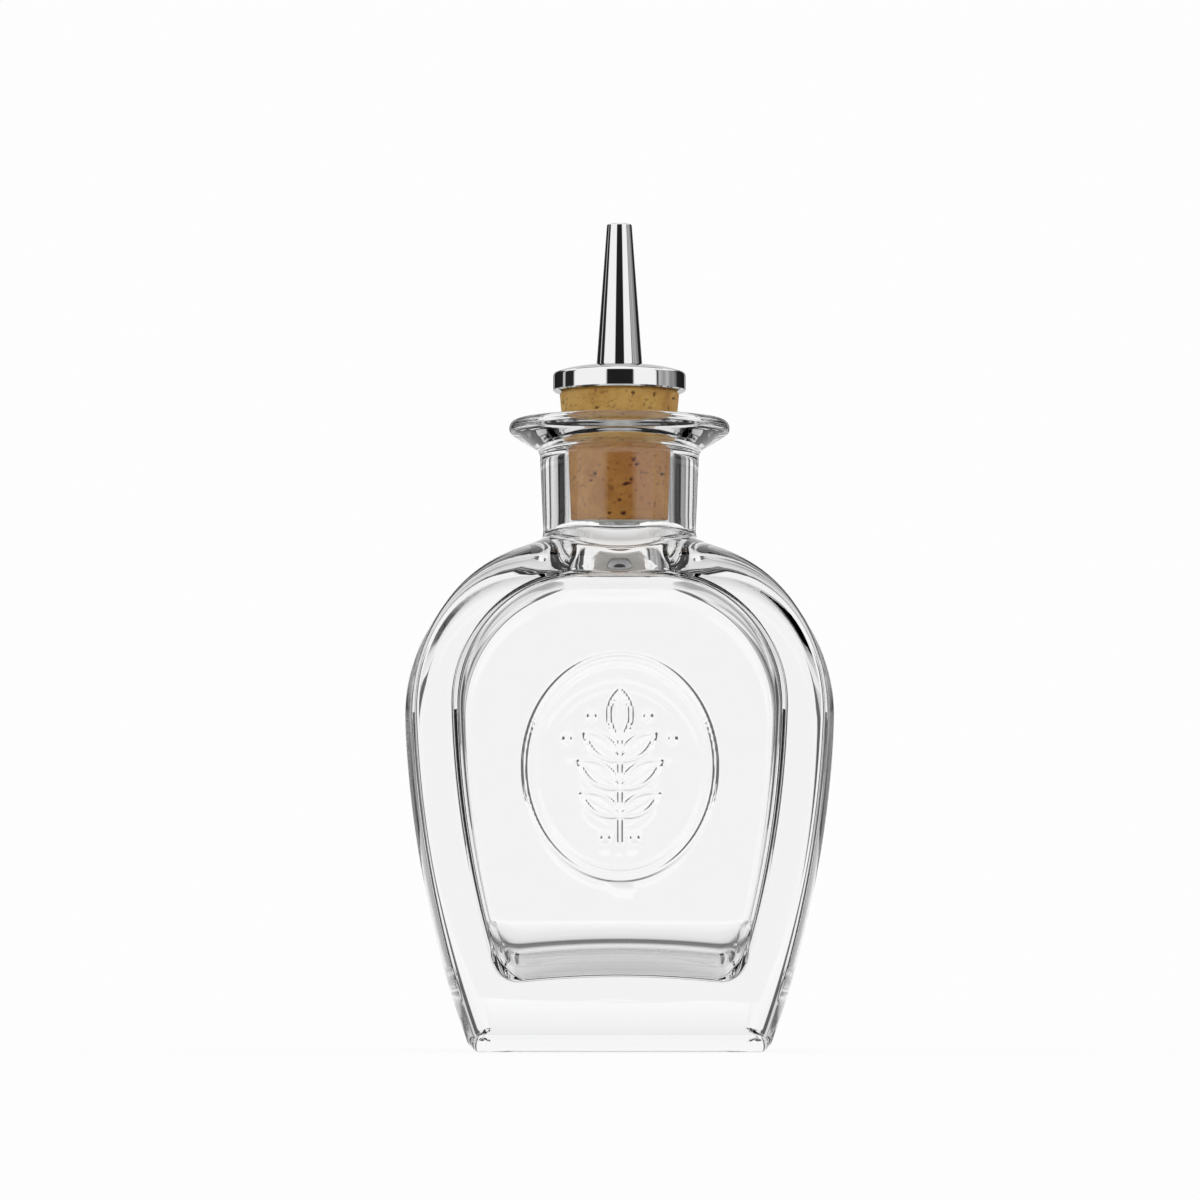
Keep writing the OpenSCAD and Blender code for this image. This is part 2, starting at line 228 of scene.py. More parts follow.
# glass bottle: a skin of closed rings from the middle of the base, up the outside, over the lip,
# down the bore and round the cavity to the middle of its floor
# a name that ends in R is a radius, in Z a height and in C the centre of an arc
glass = {
    "halfWidth": 35.87,
    "halfDepth": 22.5,
    "widestZ": 55.5,  # where the flanks meet the shoulders
    "shoulderR": 29.4,
    "flankR": 172.0,
    "flankStart": math.radians(2.3),
    "heelR": 2.6,
    "edgeSide": 1.0,
    "edgeTop": 7.3,
    "edgeBase": 2.4,
    "fadeFrom": math.radians(-10),
    "opening": 5,  # a higher power keeps the edge narrow for longer on its way up the shoulder
    "roundSide": 1.2,
    "roundTop": 15.0,
    "crown": 2.1,
    "pushUp": 0.8,
    # share of the way out to the heel, share of the rise
    "pushUpProfile": [(0.02, 1), (0.3, 1), (0.55, 1), (0.68, 1), (0.72, 0.94), (0.75, 0.78), (0.78, 0.5),
                      (0.81, 0.22), (0.84, 0.06), (0.87, 0), (0.93, 0), (0.985, 0)],
    "sideWall": 8.0,
    "faceWall": 4.5,
    "shoulderWall": 5.3,
    "floor": 12.2,
    "floorDomeR": 160.0,
    "floorRound": 7.0,
    "cavityShoulderR": 22.0,
    "cavityHeelR": 4.5,
    "cavityBulge": 1.4,
    "cavityEdge": 0.5,
    "cavityRound": 1.5,
    "footDrop": 1.8,
    "footRise": 3.5,
    "slopeStep": 0.4,  # how far below the neck's foot the shoulder's slope is taken
    "hair": 1e-6,  # keeps a section of the cavity below the point where it would vanish
    "neckFootR": 12.75,
    "neckTopR": 13.3,
    "neckHeight": 20.4,
    "lipR": 18.45,
    "lipEdgeR": 1.5,
    "lipSlope": 31,
    "lipFillet": 1.6,
    "lipFall": 0.2,
    "boreR": 9.2,
    "mouthR": 1.8,
    "throatR": 2.0,
    "throatDip": 0.4,
    "throatEnd": 11.6,
    "roofDrop": 1.25,
    # the skin's points: a quarter of a section, along the side, the corner and the flat face
    "quarterSteps": (12, 12, 14),
    "faceSpread": 1.4,
    # its rings: by degrees in the bends, by rises or counts elsewhere
    "heelTurns": range(12, 91, 13),
    "heelRises": (0.25, 0.7, 1.4, 2.4, 3.8),
    "flankRings": 30,
    "shoulderTurns": range(3, 90, 3),
    "ringGap": 0.1,
    "topRings": 9,
    "footRings": 10,
    "neckRings": 6,
    "filletRings": 7,
    "underRings": 4,
    "lipRings": 14,
    "lipTopRings": 6,
    "mouthRings": 9,
    "boreRings": 14,
    "throatRings": 9,
    "roofShares": (0.2, 0.4, 0.6, 0.8),
    "roofEdgeRings": 8,
    "cavityTurns": range(86, 2, -4),
    "wallRings": 32,
    "floorTurns": range(87, 2, -4),
    # glass itself
    "ior": 1.5,
    "ripple": {"Scale": 60.0, "Detail": 1.0},
    "rippleBump": {"Strength": 0.02, "Distance": 0.5 * mm},
    "body": {"Color": (0.0, 0.03, 0.02, 1), "Density": 2.2},
}


def outerShape(g):
    shoulderC = (g["halfWidth"] - g["shoulderR"], g["widestZ"])
    reach = g["flankR"] - g["shoulderR"]
    flankC = onArc(shoulderC, -reach, -g["flankStart"])
    heelX = flankC[0] + math.sqrt((g["flankR"] - g["heelR"]) ** 2 - (flankC[1] - g["heelR"]) ** 2)
    heelC = (heelX, g["heelR"])
    heelFacing = math.atan2(heelC[1] - flankC[1], heelC[0] - flankC[0])

    def opened(facing):
        return max(0.0, math.sin(facing)) ** g["opening"]

    def edge(facing):
        if facing < 0:
            fade = (facing - g["fadeFrom"]) / (heelFacing - g["fadeFrom"])
            return mix(g["edgeSide"], g["edgeBase"], smoothShare(fade))
        return mix(g["edgeSide"], g["edgeTop"], opened(facing))

    return {
        "arcs": [(-g["flankStart"], shoulderC, g["shoulderR"]), (heelFacing, flankC, g["flankR"]),
                 (-math.pi / 2, heelC, g["heelR"])],
        "edge": edge,
        "rounding": lambda facing: mix(g["roundSide"], g["roundTop"], opened(facing)),
        "crown": lambda facing: g["crown"] * math.cos(facing) ** 2,
        "inward": lambda x, z, facing: (math.cos(facing), math.sin(facing)),
        "halfDepth": g["halfDepth"],
        "top": shoulderC[1] + g["shoulderR"],
        "flankC": flankC,
        "steps": g["quarterSteps"],
        "spread": g["faceSpread"],
    }


def cavityShape(g, outer):
    flankC = outer["flankC"]
    flankR = g["flankR"] - g["sideWall"]
    halfWidth = flankC[0] + flankR
    top = outer["top"] - g["shoulderWall"]
    shoulderZ = top - g["cavityShoulderR"]
    shoulderX = flankC[0] + math.sqrt((flankR - g["cavityShoulderR"]) ** 2 - (shoulderZ - flankC[1]) ** 2)
    shoulderFacing = math.atan2(shoulderZ - flankC[1], shoulderX - flankC[0])
    return {
        "arcs": [(shoulderFacing, (shoulderX, shoulderZ), g["cavityShoulderR"]),
                 (-math.pi / 2, flankC, flankR)],
        "edge": lambda facing: g["cavityEdge"],
        "rounding": lambda facing: g["cavityRound"],
        "crown": lambda facing: g["cavityBulge"],
        "inward": lambda x, z, facing: (x / halfWidth, max(0.0, (z - g["floor"]) / (top - g["floor"]))),
        "halfDepth": g["halfDepth"] - g["faceWall"],
        "top": top,
        "flankC": flankC,
        "flankR": flankR,
        "shoulderX": shoulderX,
        "steps": g["quarterSteps"],
        "spread": g["faceSpread"],
    }


def skinPoint(shape, facing, place):
    # the outline's point that faces that way, carried in depth: place runs from 0 at mid-depth to 1 where
    # the rounding starts and 2 at the flat face
    for start, centre, radius in shape["arcs"]:
        if facing >= start:
            break
    x, z = onArc(centre, radius, facing)
    bend, turn = shape["rounding"](facing), max(0.0, place - 1) * math.pi / 2
    y = (shape["halfDepth"] - bend) * min(1.0, place) + bend * math.sin(turn)
    inset = shape["edge"](facing) * (1 - math.cos(turn))
    inset += shape["crown"](facing) * (y / shape["halfDepth"]) ** 2
    alongX, alongZ = shape["inward"](x, z, facing)
    return x - inset * alongX, y, z - inset * alongZ


def bisect(low, high, tooLow, halvings=40):
    for i in range(halvings):
        middle = (low + high) / 2
        if tooLow(middle):
            low = middle
        else:
            high = middle
    return high


def facingAt(shape, z, place):
    # which way the outline faces where the skin at that place reaches height z
    return bisect(-math.pi / 2, math.pi / 2, lambda facing: skinPoint(shape, facing, place)[2] < z)


def lastPlace(shape, z):
    # near its top and its base the section ends before the flat face
    def inside(place):
        return skinPoint(shape, math.pi / 2, place)[2] > z > skinPoint(shape, -math.pi / 2, place)[2]
    return 2.0 if inside(2.0) else bisect(0.0, 2.0, inside)


def sectionPoint(shape, z, index):
    # one point of the first quarter of the section at height z: side, corner, then flat face
    side, corner, face = shape["steps"]
    end = lastPlace(shape, z)
    place = index / side if index < side else 1 + (end - 1) * min(1.0, (index - side) / corner)
    x, y, height = skinPoint(shape, facingAt(shape, z, place), place)
    if index > side + corner:
        x *= 1 - ((index - side - corner) / face) ** shape["spread"]
    return x, y


def sectionRing(shape, z):
    return [(*sectionPoint(shape, z, index), z) for index in range(sum(shape["steps"]) + 1)]


def circleRing(radius, z, angles):
    return [(radius * math.cos(angle), radius * math.sin(angle), z) for angle in angles]


def ringAngles(ring):
    return [math.atan2(y, x) for x, y, z in ring]


def wholeRing(quarter):
    # mirrors a quarter ring of (x, y, z) into all four quarters, without doubling the points on the axes
    back = quarter[-2::-1]
    return (quarter + [(-x, y, z) for x, y, z in back]
            + [(-x, -y, z) for x, y, z in quarter[1:]] + [(x, -y, z) for x, y, z in back[:-1]])


def neckProfile(g, outer, neckZ):
    # neck, lip and mouth as (radius, height) points, and the height at which the bore starts
    lipTop = outer["top"] + g["neckHeight"]
    slope = math.radians(g["lipSlope"])
    lipC = (g["lipR"] - g["lipEdgeR"], lipTop - g["lipEdgeR"])
    under = onArc(lipC, g["lipEdgeR"], slope - math.pi / 2)
    filletX = g["neckTopR"] + g["lipFillet"]
    filletZ = under[1] - (under[0] - filletX) * math.tan(slope) - g["lipFillet"] / math.cos(slope)
    mouthC = (g["boreR"] + g["mouthR"], lipTop - g["lipFall"] - g["mouthR"])
    profile = innerPoints((g["neckFootR"], neckZ), (g["neckTopR"], filletZ), g["neckRings"])
    profile += arcPoints((filletX, filletZ), g["lipFillet"], 180, 90 + g["lipSlope"], g["filletRings"])
    profile += innerPoints(profile[-1], under, g["underRings"])
    profile += arcPoints(lipC, g["lipEdgeR"], g["lipSlope"] - 90, 90, g["lipRings"])
    for i in range(1, g["lipTopRings"]):
        share = i / g["lipTopRings"]
        profile.append((mix(lipC[0], mouthC[0], share), lipTop - g["lipFall"] * smoothShare(share)))
    return profile + arcPoints(mouthC, g["mouthR"], 90, 180, g["mouthRings"]), mouthC[1]


def roofZ(g, cavity, x, y):
    # height of the cavity's roof near the throat
    across = min(g["cavityShoulderR"], max(0.0, abs(x) - cavity["shoulderX"]))
    fall = g["cavityShoulderR"] - math.sqrt(g["cavityShoulderR"] ** 2 - across * across)
    return cavity["top"] - fall - g["cavityBulge"] * (y / cavity["halfDepth"]) ** 2


def floorShape(g, cavity):
    # the cavity's floor: a low dome with a round heel at both sides, bent up towards the flat faces.
    # gives its height at (x, y), and the height at which the wall stands on it at depth y
    heel, bend = g["cavityHeelR"], g["floorRound"]
    domeC, flankC = (0, g["floor"] - g["floorDomeR"]), cavity["flankC"]
    inner = cavity["flankR"] - heel
    outer = g["floorDomeR"] + heel
    heelX = bisect(0.0, g["halfWidth"], lambda x: math.hypot(
        x - flankC[0], domeC[1] + math.sqrt(outer ** 2 - x * x) - flankC[1]) < inner)
    heelZ = domeC[1] + math.sqrt(outer ** 2 - heelX ** 2)
    facing = math.atan2(heelZ - flankC[1], heelX - flankC[0])
    wallX, wallZ = onArc((heelX, heelZ), heel, facing)
    domeX = heelX * g["floorDomeR"] / outer

    def rise(y):
        bent = min(1.0, max(0.0, (abs(y) - cavity["halfDepth"] + bend) / bend))
        return bend * (1 - math.sqrt(1 - bent * bent))

    def height(x, y):
        up = rise(y)
        out = flankC[0] + math.sqrt(cavity["flankR"] ** 2 - (wallZ + up - flankC[1]) ** 2) - wallX
        x = min(wallX, max(0.0, abs(x) + g["cavityBulge"] * (y / cavity["halfDepth"]) ** 2 - out))
        if x < domeX:
            return domeC[1] + math.sqrt(g["floorDomeR"] ** 2 - x * x) + up
        return heelZ - math.sqrt(max(0.0, heel * heel - (x - heelX) ** 2)) + up

    return height, lambda y: wallZ + rise(y)


def baseRings(g, heel):
    # a soft push-up inside a flat rim, from the middle out to the heel
    return [[(x * share, y * share, g["pushUp"] * rise) for x, y, z in heel]
            for share, rise in g["pushUpProfile"]]


def outsideHeights(g, outer):
    # heights of the rings over heel, flank and shoulder to the foot of the neck
    heights = [g["edgeBase"] * (1 - math.cos(math.radians(turn))) for turn in g["heelTurns"]]
    heights += [g["edgeBase"] + rise for rise in g["heelRises"]]
    low, high = heights[-1], skinPoint(outer, 0, 2)[2]
    heights += [mix(low, high, i / g["flankRings"]) for i in range(1, g["flankRings"] + 1)]
    # the shoulder's rings stop below the top of the flat face, where the edge's own rings start
    faceTop = outer["top"] - g["edgeTop"]
    shoulder = [skinPoint(outer, math.radians(turn), 2)[2] for turn in g["shoulderTurns"]]
    heights += [z for z in shoulder if z < faceTop - g["ringGap"]]
    last = math.degrees(math.acos(1 - g["footDrop"] / g["edgeTop"]))
    for i in range(g["topRings"] + 1):
        turn = math.radians(mix(90, last, i / g["topRings"]))
        heights.append(outer["top"] - g["edgeTop"] * (1 - math.cos(turn)))
    return heights


def footRings(g, foot, below):
    # each point runs up into the neck along the shoulder's own slope
    neckR, neckZ = g["neckFootR"], foot[0][2] + g["footRise"]
    rings = []
    for i in range(1, g["footRings"] + 1):
        share = i / g["footRings"]
        ring = []
        for (x, y, z), (belowX, belowY, belowZ) in zip(foot, below):
            reach, angle = math.hypot(x, y), math.atan2(y, x)
            slope = (z - belowZ) / (math.hypot(belowX, belowY) - reach)
            cornerZ = z + slope * (reach - neckR)
            radius = mix(mix(reach, neckR, share), neckR, share)
            height = mix(mix(z, cornerZ, share), mix(cornerZ, neckZ, share), share)
            ring.append((radius * math.cos(angle), radius * math.sin(angle), height))
        rings.append(ring)
    return rings


def boreRings(g, cavity, mouthZ, neckAngles, cavityAngles):
    # down the bore, while the points move round to where the cavity needs them, then through the throat:
    # a quarter bend from the bore to the roof, which falls away on all sides
    throatTop = cavity["top"] + g["throatR"] - g["throatDip"]
    rings = []
    for i in range(1, g["boreRings"] + 1):
        share = i / g["boreRings"]
        angles = [mix(a, b, smoothShare(share)) for a, b in zip(neckAngles, cavityAngles)]
        rings.append(circleRing(g["boreR"], mix(mouthZ, throatTop, share), angles))
    for i in range(1, g["throatRings"] + 1):
        turn = math.radians(90 * i / g["throatRings"])
        radius = mix(g["boreR"], g["throatEnd"], 1 - math.cos(turn))
        points = [onArc((0, 0), radius, angle) for angle in cavityAngles]
        rings.append([(x, y, mix(throatTop, roofZ(g, cavity, x, y), math.sin(turn))) for x, y in points])
    return rings


def roofRings(g, cavity, throat, edge):
    # from the throat to the edge of the roof, where the cavity's own sections start
    rings = []
    for share in g["roofShares"]:
        ring = []
        for inner, outer in zip(throat, edge):
            x, y = mixPoint(inner, outer, share)
            z = mix(inner[2], outer[2], share)
            ring.append((x, y, mix(roofZ(g, cavity, x, y), z, share ** 4)))
        rings.append(ring)
    return rings


def cavityRings(g, cavity):
    # shoulder and flank, then the wall down to the floor, then the floor from its rim to its middle
    rings = [sectionRing(cavity, skinPoint(cavity, math.radians(turn), 2)[2]) for turn in g["cavityTurns"]]
    top = rings[-1][0][2]
    floorZ, wallFoot = floorShape(g, cavity)
    bottoms = [wallFoot(y) for x, y, z in rings[-1]]
    for i in range(1, g["wallRings"] + 1):
        heights = [mix(top, bottom, i / g["wallRings"]) for bottom in bottoms]
        rings.append([(*sectionPoint(cavity, z, index), z) for index, z in enumerate(heights)])
    wall = rings[-1]
    for tilt in g["floorTurns"]:
        share = math.sin(math.radians(tilt))
        rings.append([(x * share, y * share, floorZ(x * share, y * share)) for x, y, z in wall])
    return rings


def glassRings(g):
    outer = outerShape(g)
    cavity = cavityShape(g, outer)
    heights = outsideHeights(g, outer)
    outside = [sectionRing(outer, z) for z in heights]
    foot = footRings(g, outside[-1], sectionRing(outer, heights[-1] - g["slopeStep"]))
    neckAngles = ringAngles(outside[-1])
    profile, mouthZ = neckProfile(g, outer, heights[-1] + g["footRise"])
    neck = [circleRing(radius, z, neckAngles) for radius, z in profile]
    firstPlace = lastPlace(cavity, cavity["top"] - g["roofDrop"])
    places = [mix(firstPlace, 2, i / g["roofEdgeRings"]) for i in range(g["roofEdgeRings"] + 1)]
    edge = [sectionRing(cavity, skinPoint(cavity, math.pi / 2, place)[2] - g["hair"]) for place in places]
    bore = boreRings(g, cavity, mouthZ, neckAngles, ringAngles(edge[0]))
    roof = roofRings(g, cavity, bore[-1], edge[0])
    quarters = baseRings(g, outside[0]) + outside + foot + neck + bore + roof + edge + cavityRings(g, cavity)
    return [wholeRing(quarter) for quarter in quarters]


# pressed into the front face, in place of lettering: an oval frame round a sprig with berries
ornament = {
    "middleZ": 46.4,
    "halfHigh": 19.3,
    "halfWide": 17.6,
    "depth": 0.32,
    "cuts": 8,
    "play": 0.01,  # a little slack in comparisons
    # half width, half height, line width, strength
    "frames": [(15.6, 18.4, 1.1, 1.0), (13.9, 16.7, 0.7, 0.5)],
    # foot, top, line width
    "stem": (-12.5, 4.5, 0.9),
    # leaves and berries are listed for the right side, and mirrored to the left
    # leaf: height of its foot on the stem, tilt from upright, length, width
    "leaves": [(4.5, 0, 8.0, 3.6), (1.0, 52, 7.2, 3.0), (-3.5, 56, 8.0, 3.3), (-8.0, 60, 7.2, 3.0)],
    "leafLine": 0.9,
    "ribLine": 0.6,
    "ribStrength": 0.7,
    "berries": [(4.6, 8.3), (8.6, 4.6), (2.4, -11.6)],
    "berryR": 1.15,
}


def leafEdge(x, z, leaf):
    # distance from the leaf's outline, below 0 inside it, and from its rib
    foot, tilt, length, width = leaf
    turn = math.radians(tilt)
    along = x * math.sin(turn) + (z - foot) * math.cos(turn) - length / 2
    across = x * math.cos(turn) - (z - foot) * math.sin(turn)
    radius = (length * length + width * width) / (4 * width)
    return math.hypot(along, abs(across) + radius - width / 2) - radius, across


def bell(distance, width):
    share = min(1.0, abs(distance) / (width / 2))
    return (1 - share * share) ** 2


def relief(o, x, z):
    deep = 0.0
    for wide, high, line, strength in o["frames"]:
        reach = math.hypot(x / wide, z / high)
        distance = (reach - 1) * math.hypot(x, z) / max(reach, o["play"])
        deep = max(deep, strength * bell(distance, line))
    low, high, line = o["stem"]
    if low < z < high:
        deep = max(deep, bell(x, line))
    for side in (x, -x):
        for leaf in o["leaves"]:
            edge, across = leafEdge(side, z, leaf)
            deep = max(deep, bell(edge, o["leafLine"]))
            if edge < 0:
                deep = max(deep, o["ribStrength"] * bell(across, o["ribLine"]))
        for berryX, berryZ in o["berries"]:
            deep = max(deep, bell(math.hypot(side - berryX, z - berryZ), 2 * o["berryR"]))
    return deep * o["depth"]


def pressOrnament(piece, o, halfDepth):
    # cuts the flat face's quads finer inside the frame, and sinks their points
    deselectAll()
    bpy.context.view_layer.objects.active = piece
    piece.select_set(True)
    face = o["play"] - halfDepth
    bpy.ops.object.mode_set(mode="EDIT")
    bpy.ops.mesh.select_mode(type="FACE")
    bpy.ops.mesh.select_all(action="DESELECT")
    mesh = bmesh.from_edit_mesh(piece.data)
    for side in mesh.faces:
        x, y, z = side.calc_center_median() / mm
        side.select_set(y < face and abs(x) < o["halfWide"] and abs(z - o["middleZ"]) < o["halfHigh"])
    bmesh.update_edit_mesh(piece.data)
    bpy.ops.mesh.subdivide(number_cuts=o["cuts"])
    bpy.ops.object.mode_set(mode="OBJECT")
    for vert in piece.data.vertices:
        x, y, z = vert.co / mm
        if vert.select and y < face:
            vert.co.y += relief(o, x, z - o["middleZ"]) * mm


def makeGlass(g):
    piece = growSkin("glassBottle", glassRings(g))
    pressOrnament(piece, ornament, g["halfDepth"])
    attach(piece, "bottle")
    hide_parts("glass_bottle")
    return piece


def glassMaterial(g):
    material, s = startMaterial("clearGlass")
    place = s.node("TexCoord", output="Object")
    ripple = s.node("TexNoise", {"Vector": place, **g["ripple"]})
    bump = s.node("Bump", {"Height": ripple, **g["rippleBump"]})
    shader = s.node("BsdfPrincipled", {"Base Color": rgba(grey(1.0)), "Roughness": 0.0, "IOR": g["ior"],
                                       "Transmission Weight": 1.0, "Normal": bump})
    body = s.node("VolumeAbsorption", g["body"])
    s.node("OutputMaterial", {"Surface": shader, "Volume": body})
    return material


bottlePiece = makeGlass(glass)
dress(bottlePiece, glassMaterial(glass))
print("glass bottle done,", len(bottlePiece.data.polygons), "faces")

# metal dasher
dasher = {
    "corkTop": 110.0,
    "capR": 11.1,
    "capRim": 2.6,
    "capDome": 1.7,
    "capEdgeR": 0.7,
    "capBevel": 0.25,
    "holeR": 2.82,
    "footR": 3.85,
    "tipR": 2.1,
    "spoutLength": 23.9,
    "spigotIn": 4.02,
    "outletR": 1.2,
    "outletLength": 8.0,
    "passageR": 2.1,
    "tipRound": 0.25,
    "tipLean": 5,
    "edgeTurn": 55,
    "domeBend": 0.4,
    # points of the profile
    "edgeSteps": 8,
    "domeSteps": 16,
    "sideSteps": 12,
    "tipSteps": 5,
    # metals: roughness runs between rough's two values in clouds of that scale
    "polished": {"colour": (0.9, 0.9, 0.905), "rough": (0.03, 0.06), "cloudScale": 300.0},
    "turned": {"colour": (0.62, 0.62, 0.64), "rough": (0.22, 0.34), "cloudScale": 900.0},
    "edgeTint": 0.55,  # both metals reflect this share where they are seen at a flat angle
}


def metalMaterial(name, colour, rough, cloudScale):
    material, s = startMaterial(name)
    place = s.node("TexCoord", output="Object")
    cloud = s.node("TexNoise", {"Vector": place, "Scale": cloudScale, "Detail": 3.0})
    roughness = s.node("MapRange", {"Value": cloud, "To Min": rough[0], "To Max": rough[1]})
    shader = s.node("BsdfPrincipled", {"Base Color": rgba(colour), "Metallic": 1.0, "Roughness": roughness,
                                       "Specular Tint": rgba(grey(dasher["edgeTint"]))})
    s.node("OutputMaterial", {"Surface": shader})
    return material


def makeCap(d):
    rimTop = d["corkTop"] + d["capRim"]
    capTop = rimTop + d["capDome"]
    edge = arcPoints((d["capR"] - d["capEdgeR"], rimTop), d["capEdgeR"], 0, d["edgeTurn"], d["edgeSteps"])
    crest = (mix(edge[-1][0], d["footR"], d["domeBend"]), capTop)
    dome = curvePoints(edge[-1], crest, (d["footR"], capTop), d["domeSteps"])
    profile = [(d["holeR"], d["corkTop"]), (d["capR"] - d["capBevel"], d["corkTop"]),
               (d["capR"], d["corkTop"] + d["capBevel"]), *edge, *dome[1:], (d["holeR"], capTop)]
    piece = spinPiece("dasherCap", profile)
    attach(piece, "dasher")
    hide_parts("dasher_cap")
    return piece


def makeSpout(d):
    foot = d["corkTop"] + d["capRim"] + d["capDome"]
    tip = foot + d["spoutLength"]
    bend, spigotTop = d["tipRound"], foot + d["spigotIn"]
    tipArc = arcPoints((d["tipR"] - bend, tip - bend), bend, d["tipLean"], 90, d["tipSteps"])
    side = [(d["footR"], foot), *innerPoints((d["footR"], foot), tipArc[0], d["sideSteps"])]
    profile = [(d["holeR"], foot), *side, *tipArc, (d["outletR"], tip),
               (d["outletR"], tip - d["outletLength"]), (d["passageR"], spigotTop), (d["holeR"], spigotTop)]
    piece = spinPiece("pourSpout", profile)
    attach(piece, "dasher")
    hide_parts("pour_spout")
    return piece


polished = metalMaterial("polishedMetal", **dasher["polished"])
for part in (makeCap(dasher), makeSpout(dasher)):
    dress(part, polished)
dress(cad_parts["stem_tube"], metalMaterial("turnedSteel", **dasher["turned"]))
print("dasher done")

# cork: a fine skin, so that its pores and grain are real hollows
cork = {
    "bottom": 87.7,
    "top": 110.0,
    "tailR": 8.15,
    "waistR": 8.6,
    "squeezeZ": 99.8,
    "mouthC": (11.0, 103.3),
    "mouthR": 1.85,
    "lean": 22,  # of the side above the glass's mouth, in degrees
    "swell": 0.9,
    "headR": 10.0,
    "bevel": 0.4,
    "boreR": 3.55,
    "barbR": 4.0,
    "barbTops": [95.3, 100.1, 104.9],
    "barbFlat": 0.1,
    "barbLength": 2.5,
    "mouthSteps": 6,
    "swellSteps": 8,
    "spacing": 0.2,
    "turnSteps": 300,
    # pores: compass degree (0 at the front, positive to the right), height, half length, half height, tilt
    "pores": [(15, 97.9, 0.35, 0.4, 0), (18, 97.1, 0.4, 0.22, 15), (52, 95.7, 0.7, 0.28, 5),
              (8, 93.9, 0.75, 0.28, 20), (12, 94.6, 0.3, 0.3, 40), (0, 91.2, 0.25, 0.28, 0),
              (-27, 95.6, 0.4, 0.25, 35), (-31, 94.5, 0.3, 0.2, 10), (4, 89.0, 0.5, 0.35, 25),
              (-11, 89.0, 0.35, 0.25, 0), (13, 108.9, 0.3, 0.35, 60), (36, 108.8, 0.25, 0.4, 0),
              (-24, 106.4, 0.3, 0.2, 20), (-72, 108.0, 0.2, 0.9, 0)],
    # more pores at random places beyond frontTurn, with lengths, heights and tilts in these ranges
    "morePores": 42,
    "frontTurn": 66,
    "poreMargin": 1,
    "poreLength": (0.2, 0.7),
    "poreRise": (0.15, 0.35),
    "poreTilt": (-40, 40),
    "seed": 5,
    "poreReach": 1.5,
    "poreDepth": 0.35,
    "poreEdge": 0.55,
    "poreFade": 0.6,
    "ragged": 0.5,
    "raggedScale": 1.7,
    "skinDepth": 1.0,
    # flecks are small shallow hollows; a fine grain lies over everything outside the bore
    "fleckScale": (1.4, 2.2),
    "fleckShift": 40,
    "fleckFrom": 0.34,
    "fleckFade": 0.2,
    "fleckDepth": 0.12,
    "fleckDark": 0.45,
    "grainScale": 3.1,
    "grainFlat": 1.5,
    "grainDepth": 0.035,
    # colours
    "tan": [(0.34, (0.42, 0.2, 0.04)), (0.48, (0.55, 0.31, 0.072)), (0.62, (0.65, 0.41, 0.12))],
    "cloud": {"Scale": 260.0, "Detail": 6.0, "Roughness": 0.7},
    "patch": {"Scale": 90.0, "Detail": 2.0},
    "cloudShare": 0.6,
    "squeezed": (1.12, 0.9, 0.75),
    "squeezedTop": (101.5, 104.5),
    "stain": (0.5, 0.17, 0.045),
    "stainPatch": {"Scale": 130.0, "Detail": 3.0},
    "stainFrom": (0.5, 0.62),
    "stainShare": 0.5,
    "endGrain": (0.9, 0.86, 0.78),
    "endGrainTop": (0.02, 0.2),
    "poreColour": (0.07, 0.012, 0.006),
    "poreShare": 0.9,
    "roughness": 0.75,
    "grainBump": {"Strength": 0.3, "Distance": 0.2 * mm},
}


def finePath(points, spacing):
    path = [points[0]]
    for start, end in zip(points, points[1:]):
        steps = max(1, round(math.dist(start, end) / spacing))
        path += [*innerPoints(start, end, steps), end]
    return path


def corkProfile(c):
    # fine steps outside; the bore has a groove with a square top for each barb of the stem
    bend = arcPoints(c["mouthC"], c["mouthR"], 180, 180 - c["lean"], c["mouthSteps"])
    lean = math.radians(c["lean"])
    swell = (bend[-1][0] + c["swell"] * math.sin(lean), bend[-1][1] + c["swell"] * math.cos(lean))
    head = curvePoints(bend[-1], swell, (c["headR"], c["top"] - c["bevel"]), c["swellSteps"])
    outside = [(c["tailR"] - c["bevel"], c["bottom"]), (c["tailR"], c["bottom"] + c["bevel"]),
               (c["waistR"], c["squeezeZ"]), *bend, *head[1:], (c["headR"] - c["bevel"], c["top"])]
    inside = [(c["boreR"], c["top"])]
    for z in reversed(c["barbTops"]):
        inside += [(c["boreR"], z), (c["barbR"], z), (c["barbR"], z - c["barbFlat"]),
                   (c["boreR"], z - c["barbLength"])]
    return finePath(outside, c["spacing"]) + inside + [(c["boreR"], c["bottom"])]


def poreList(c):
    # the pores that show in front, and others round the back at random places that stay the same
    chance = random.Random(c["seed"])
    pores = list(c["pores"])
    low, high = c["bottom"] + c["poreMargin"], c["top"] - c["poreMargin"]
    while len(pores) < len(c["pores"]) + c["morePores"]:
        turn, height = chance.uniform(-180, 180), chance.uniform(low, high)
        if abs(turn) > c["frontTurn"]:
            shape = [chance.uniform(*c[name]) for name in ("poreLength", "poreRise", "poreTilt")]
            pores.append((turn, height, *shape))
    return pores


def poreDarkness(c, pores, facing, r, z, ragged):
    # 1 in the middle of a pore, 0 away from all of them
    dark = 0.0
    for turn, height, length, rise, tilt in pores:
        if abs(z - height) > c["poreReach"]:
            continue
        across = math.radians((facing - turn + 180) % 360 - 180) * r
        if abs(across) > c["poreReach"]:
            continue
        tilt = math.radians(tilt)
        along = across * math.cos(tilt) + (z - height) * math.sin(tilt)
        over = (z - height) * math.cos(tilt) - across * math.sin(tilt)
        away = math.hypot(along / length, over / rise) + ragged
        dark = max(dark, 1 - smoothShare((away - c["poreEdge"]) / c["poreFade"]))
    return dark


